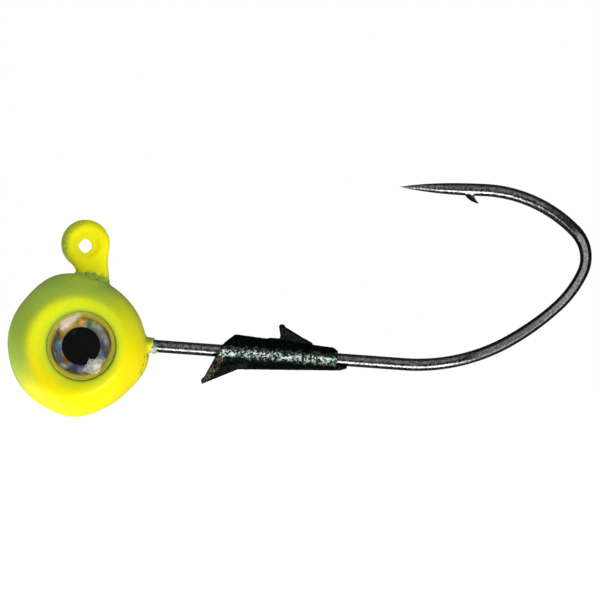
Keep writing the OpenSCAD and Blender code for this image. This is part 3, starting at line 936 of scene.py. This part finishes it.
def makeHead(material):
    shape = headShape
    ball = lathe(ballProfile(), (ballCentre.x, ballCentre.z), shape["segments"])
    for direction, height, spread in shape["swells"]:
        aim = Vector((cos(radians(direction)), 0, sin(radians(direction))))

        def near(place, aim=aim, spread=spread):
            away = (place - ballCentre).angle(aim, pi)
            return smoothShare(max(0, 1 - degrees(away) / (2 * spread)))
        swell(ball, "swell", height, near)

    loopCentre = Vector((0, 0, shape["loopRise"] * mm))
    aroundLoop, aroundTube = shape["loopFaces"]
    loop = start(bpy.ops.mesh.primitive_torus_add, major_radius=shape["loopRadius"] * mm,
                 minor_radius=shape["loopTube"] * mm, major_segments=aroundLoop,
                 minor_segments=aroundTube, location=loopCentre, rotation=crosswise)
    web = rod(64, shape["webRadius"] * mm, shape["web"] * mm, loopCentre, crosswise)
    legTop, legBottom = loopCentre.z, ballCentre.z + shape["legFoot"] * ballRadius
    waist, legX = shape["legWaist"] * mm, shape["loopRadius"] * mm
    # the leg is narrowest under the loop and flares where it meets the ball
    leg = rod(48, shape["legRadius"] * mm, legTop - waist, (legX, 0, (legTop + waist) / 2))
    drawOut(leg, (0, 0, -1), (Vector((legX, 0, legBottom)),
                              (shape["legFlare"] / shape["legRadius"], 1, 1)))
    thick, front = shape["neckThick"] * mm, shape["neckFront"] * mm
    neckTop = loopCentre.z - legX
    neckMiddle, neckTall = (neckTop + legBottom) / 2, neckTop - legBottom
    neck = block(((front + legX) / 2, 0, neckMiddle), (legX - front, 2 * thick, neckTall))
    nose = rod(40, thick, neckTall, (front, 0, neckMiddle))
    collar = start(bpy.ops.mesh.primitive_cone_add, vertices=40,
                   radius1=shape["collarRadius"] * shape["collarFlare"] * mm,
                   radius2=shape["collarRadius"] * mm, depth=shape["collarLength"] * mm,
                   location=((shape["collarTop"] + shape["collarMiddle"]) * mm, 0, shankZ),
                   rotation=lengthwise)
    edit(collar)  # the paint runs further along the top of the wire
    selectAll()
    slant = Vector((2 * shape["collarRadius"], 0,
                    shape["collarEnd"] - shape["collarTop"])).normalized()
    bpy.ops.mesh.bisect(plane_co=((shape["collarEnd"] + shape["collarTop"]) / 2 * mm, 0, shankZ),
                        plane_no=slant, use_fill=True, clear_outer=True)
    leave()
    cheekX, cheekZ, cheekRadius = (value * mm for value in shape["cheek"])
    cheek = knob(16, cheekRadius, (cheekX, 0, cheekZ))
    head = join(ball, loop, web, leg, neck, nose, collar, cheek)
    # the hole is a soft diamond
    hole = rod(4, shape["holeWide"] * mm, 4 * mm, (0, 0, 0), crosswise)
    edit(hole, "EDGE")
    choose(hole, lambda edge: abs(edge.verts[0].co.y - edge.verts[1].co.y) > mm, "edges")
    bpy.ops.mesh.bevel(offset=shape["holeRound"] * mm, segments=8)
    selectAll()
    scaleAbout((0, 0, 0), (1, 1, shape["holeTall"] / shape["holeWide"]))
    leave()
    modify(head, "REMESH", mode="VOXEL", voxel_size=shape["voxel"] * mm)
    cut(head, hole)
    fuse(head, shape["voxel"], shape["rounds"])
    swell(head, "parting", shape["partingHeight"],
          lambda place: max(0, 1 - abs(place.y) / (shape["partingWidth"] * mm))
          * float((place - ballCentre).length > shape["partingFrom"] * ballRadius
                  and place.z < shape["partingUnder"] * mm))
    socket, floorY = shape["socket"], shape["socketFloor"]
    lipY, flare = shape["rimHeight"] - shape["dishDepth"], shape["lipFlare"]
    for side in sides.values():
        profile = [(socket, floorY), (socket, lipY - flare),
                   (socket + 0.3 * flare, lipY - 0.3 * flare),
                   (socket + flare, lipY + 0.01), (socket + flare, lipY + 2)]
        tool = lathe([(r * mm, side * y * mm) for r, y in profile],
                     (eyeCentre.x, eyeCentre.z), 128)
        cut(head, tool)
    finishPiece(head, "paintedHead", material, "chartreuse_paint", "paint_coat", angle=40)


undercoatShape = {
    "radius": 0.705, "from": 6.8, "to": 7.35, "voxel": 0.045, "rounds": 4,
    "endTop": 7.36, "endUnder": 7.76, "cutter": 4.0,
    # start and span round the belly in half turns, then size and reach with their swings
    "drops": 9, "dropsRound": (0.08, 0.84), "dropSize": (0.17, 0.05), "dropReach": (7.72, 0.12),
    "dropCentre": 0.60, "sizeBeat": 5, "reachBeat": 2.6,
}


def makeUndercoat(material):
    shape = undercoatShape
    mesh = frame["nodes"]["base_coat"].data.copy()
    coat = bpy.data.objects.new("undercoat", mesh)
    bpy.context.scene.collection.objects.link(coat)
    tidy(coat)
    # its end on the wire slants, further back along the underside
    height = 2 * shape["radius"]
    slant = Vector((height, 0, shape["endUnder"] - shape["endTop"])).normalized()
    lean = atan2(slant.z, slant.x)
    size = shape["cutter"] * mm
    edge = Vector(((shape["endTop"] + shape["endUnder"]) / 2 * mm, 0, shankZ))
    cut(coat, block(edge + slant * size / 2, (size,) * 3, (0, -lean, 0)))
    coat = keepLargest(coat)
    finishPiece(coat, "whiteCoat", material, "undercoat", "base_coat", angle=35)

    length = shape["to"] - shape["from"]
    rim = rod(40, shape["radius"] * mm, length * mm,
              ((shape["from"] + length / 2) * mm, 0, shankZ), lengthwise)
    drops = []
    first, turn = shape["dropsRound"]
    size, sizeSwing = shape["dropSize"]
    reach, reachSwing = shape["dropReach"]
    centre = shape["dropCentre"] * mm
    for number in range(shape["drops"]):  # it ran a little along the belly of the wire
        angle = -pi * (first + turn * number / (shape["drops"] - 1))
        drops.append(start(
            bpy.ops.mesh.primitive_ico_sphere_add, subdivisions=3,
            radius=(size + sizeSwing * sin(shape["sizeBeat"] * number)) * mm,
            location=((reach + reachSwing * sin(shape["reachBeat"] * number + 1)) * mm,
                      centre * cos(angle), shankZ + centre * sin(angle))))
    rim = join(rim, *drops)
    fuse(rim, shape["voxel"], shape["rounds"])
    finishPiece(rim, "undercoatRim", material, "undercoat")


keeperShape = {
    "front": 1.955, "rear": 1.065, "lip": 1.1, "mouthTop": (3.2, 1.78), "mouthLow": (1.87, 0.625),
    "prongTip": -3.38, "bore": 0.632, "voxel": 0.07, "rounds": 6, "lumps": 0.05, "lumpSize": 0.55,
    "rearRound": ((0.05, -0.42), (-0.75, 0.06)),  # the chamfer's ends, from the sleeve's rear rim
    # places are x from the sleeve's front end and z from the shank's axis
    "prong": ((4.1, -0.75), (1.0, 2.6, 1.9)), "prongReach": ((-0.2, -2.88), (1, 0.46, 0.74)),
    "prongFace": (3.6, -0.75), "prongBevel": 0.12, "prongEnd": (0.30, (0.22, -3.08)),
    "fin": ((9.15, 0.9), (3.3, 0.95, 1.1)), "finLow": ((8.62, 1.95), (0.66, 0.9, 1)),
    "finHigh": ((7.52, 2.98), (0.20, 0.9, 1)), "finEnd": (0.34, (7.66, 2.78)),
    "foot": ((7.15, 1.42), (1.5, 0.7, 0.5)),
    "tongue": ((13.2, -0.80), (1.0, 1.15, 0.62)), "tongueReach": ((14.4, -0.709), (1, 0.7, 0.45)),
}


def makeKeeper(material):
    shape = keeperShape
    low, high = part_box("bait_keeper")
    length = (high.x - low.x) / mm

    def at(x, z=0):  # millimetres behind the sleeve's front end and over the shank's axis
        return Vector((low.x + x * mm, 0, shankZ + z * mm))

    def blockAt(name):
        place, size = shape[name]
        return block(at(*place), [value * mm for value in size])

    def knobAt(name):
        radius, place = shape[name]
        return knob(12, radius * mm, at(*place))

    def reach(name):
        place, share = shape[name]
        return at(*place), share

    body = length - shape["lip"]
    endRadius = shape["front"] + (shape["rear"] - shape["front"]) * body / length
    sleeve = start(bpy.ops.mesh.primitive_cone_add, vertices=64, radius1=shape["front"] * mm,
                   radius2=endRadius * mm, depth=body * mm, location=at(body / 2),
                   rotation=lengthwise)
    prong, (place, share) = blockAt("prong"), reach("prongReach")
    edit(prong, "FACE")
    choose(prong, lambda face: face.normal.x < -0.9, "faces")
    push(place - at(*shape["prongFace"]))
    scaleAbout(place, share)
    selectAll()
    bpy.ops.mesh.bevel(offset=shape["prongBevel"] * mm, segments=3, affect="EDGES")
    leave()
    keeper = join(sleeve, prong)
    modify(keeper, "REMESH", mode="VOXEL", voxel_size=shape["voxel"] * mm)
    edit(keeper)
    top, bottom = at(*shape["mouthTop"]), at(*shape["mouthLow"])
    tip = at(0, shape["prongTip"])
    rear = [at(body + x, endRadius + z) for x, z in shape["rearRound"]]
    for upper, lower in ((top, bottom), (bottom, tip), rear):  # slanted mouth, chamfered rear
        slope = (upper - lower).normalized()
        selectAll()
        bpy.ops.mesh.bisect(plane_co=lower, plane_no=(-slope.z, 0, slope.x), use_fill=True,
                            clear_outer=True)
    leave()
    fin, finEnd, foot, tongue = blockAt("fin"), knobAt("finEnd"), blockAt("foot"), blockAt("tongue")
    drawOut(fin, (0, 0, 1), reach("finLow"), reach("finHigh"))
    drawOut(tongue, (1, 0, 0), reach("tongueReach"))
    keeper = join(keeper, fin, finEnd, foot, tongue, knobAt("prongEnd"))
    fuse(keeper, shape["voxel"], shape["rounds"])
    lumps = bpy.data.textures.new("lumps", "CLOUDS")
    lumps.noise_scale = shape["lumpSize"] * mm
    modify(keeper, "DISPLACE", texture=lumps, texture_coords="LOCAL",
           strength=shape["lumps"] * mm, mid_level=0.5)
    cut(keeper, rod(48, shape["bore"] * mm, 30 * mm, at(7), lengthwise))
    keeper = keepLargest(keeper)
    tidy(keeper)
    finishPiece(keeper, "pittedKeeper", material, "keeper_green", "bait_keeper", angle=50)
    bpy.data.collections["keeper"].objects.link(keeper)


eyeShape = {"segments": 128, "domeRadius": 4.956, "soft": 0.06, "pocket": 0.065,
            "foilProud": 0.01, "pupilRise": 0.06, "pole": 0.02, "domeSteps": 32,
            "foilRings": (0.9, 0.5, 0.1), "spotRing": 0.2}


def makeEyes(lensMaterial, pupilMaterial):
    shape = eyeShape
    around = (eyeCentre.x, eyeCentre.z)
    soft, dome, proud = shape["soft"] * mm, shape["domeRadius"] * mm, shape["foilProud"] * mm
    for name, side in sides.items():
        low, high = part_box(name + "_eye_lens")
        base, top = sorted((abs(low.y), abs(high.y)))
        radius = (high.x - low.x) / 2
        foilLow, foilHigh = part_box(name + "_eye_foil")
        foilBase = min(abs(foilLow.y), abs(foilHigh.y))
        pupilLow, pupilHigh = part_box(name + "_eye_pupil")
        pupil = (pupilHigh.x - pupilLow.x) / 2

        def turned(points, title, material, slot, node):
            piece = lathe([(r, side * y) for r, y in points], around, shape["segments"])
            finishPiece(piece, name + title, material, slot, name + node, angle=40)
            if side > 0:
                bpy.data.collections["farEye"].objects.link(piece)

        domeCentre = top - dome
        lens = [(pupil, base + shape["pocket"] * mm), (pupil, base), (radius - soft, base),
                (radius, base + soft)]
        rimAngle = asin((radius - soft / 2) / dome)
        for step in range(shape["domeSteps"] + 1):
            angle = rimAngle * (1 - step / shape["domeSteps"])
            out = max(shape["pole"] * mm, dome * sin(angle))
            lens.append((out, domeCentre + dome * cos(angle)))
        turned(lens, "Lens", lensMaterial, "lens_resin", "_eye_lens")
        foil = [(radius - soft, foilBase), (radius, foilBase + soft / 2), (radius, base),
                (radius - soft, base + proud)]
        foil += [(share * radius, base + proud) for share in shape["foilRings"]]
        turned(foil, "Iris", irisFoil(name), "iris_foil", "_eye_foil")
        rise = shape["pupilRise"] * mm
        spot = [(pupil, base - proud), (pupil, base + rise / 2),
                (pupil - rise / 2, base + rise - proud), (shape["spotRing"] * pupil, base + rise)]
        turned(spot, "Pupil", pupilMaterial, "pupil_ink", "_eye_pupil")


def paintNode(name, material):
    frame["nodes"][name].material_slots[0].material = material


makeStage()
makeLamps()
makeHook(blackNickel())
makeHead(chartreusePaint())
makeUndercoat(whiteUndercoat())
paintNode("lead_head", castLead())
pad = eyeAdhesive()
for side in sides:
    paintNode(side + "_eye_adhesive", pad)
makeKeeper(keeperGreen())
makeEyes(lensResin(), pupilInk())
